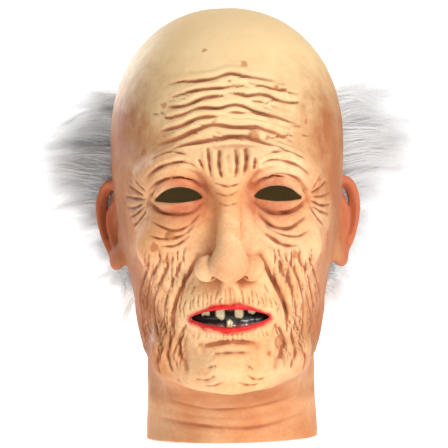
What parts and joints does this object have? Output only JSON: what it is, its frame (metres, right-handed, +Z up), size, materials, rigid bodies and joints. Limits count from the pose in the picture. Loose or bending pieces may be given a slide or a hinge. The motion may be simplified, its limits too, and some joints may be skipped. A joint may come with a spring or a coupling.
{
  "type": "latex halloween mask",
  "caption": "Over-head latex mask of a bald, wrinkled old man with gappy teeth and white fur hair behind the ears; open neck, eye holes and mouth.",
  "frame": {"origin": "centre of the mask's outline on the plane of the cut neck rim, on which it stands", "axes": "+Z up to the crown, -Y out of the face, +X towards the wearer's left ear"},
  "size_m": [0.281, 0.2378, 0.296],
  "materials": {
    "latex": "painted natural latex, satin",
    "mouth_paint": "gloss black paint with mauve gums",
    "tooth": "glossy ivory paint, orange at the root",
    "fur_backing": "woven white backing",
    "fur_pile": "white long-pile faux fur"
  },
  "bodies": {
    "root": {"head_skin": "latex", "mouth_tray": "mouth_paint", "upper_tooth_r3": "tooth", "upper_tooth_r2": "tooth", "upper_tooth_r1": "tooth", "upper_tooth_l1": "tooth", "upper_tooth_l2": "tooth", "upper_tooth_l3": "tooth", "lower_tooth": "tooth", "left_hair_backing": "fur_backing", "right_hair_backing": "fur_backing", "nape_hair_backing": "fur_backing", "left_hair_pile": "fur_pile", "right_hair_pile": "fur_pile", "nape_hair_pile": "fur_pile"}
  },
  "joints": []
}
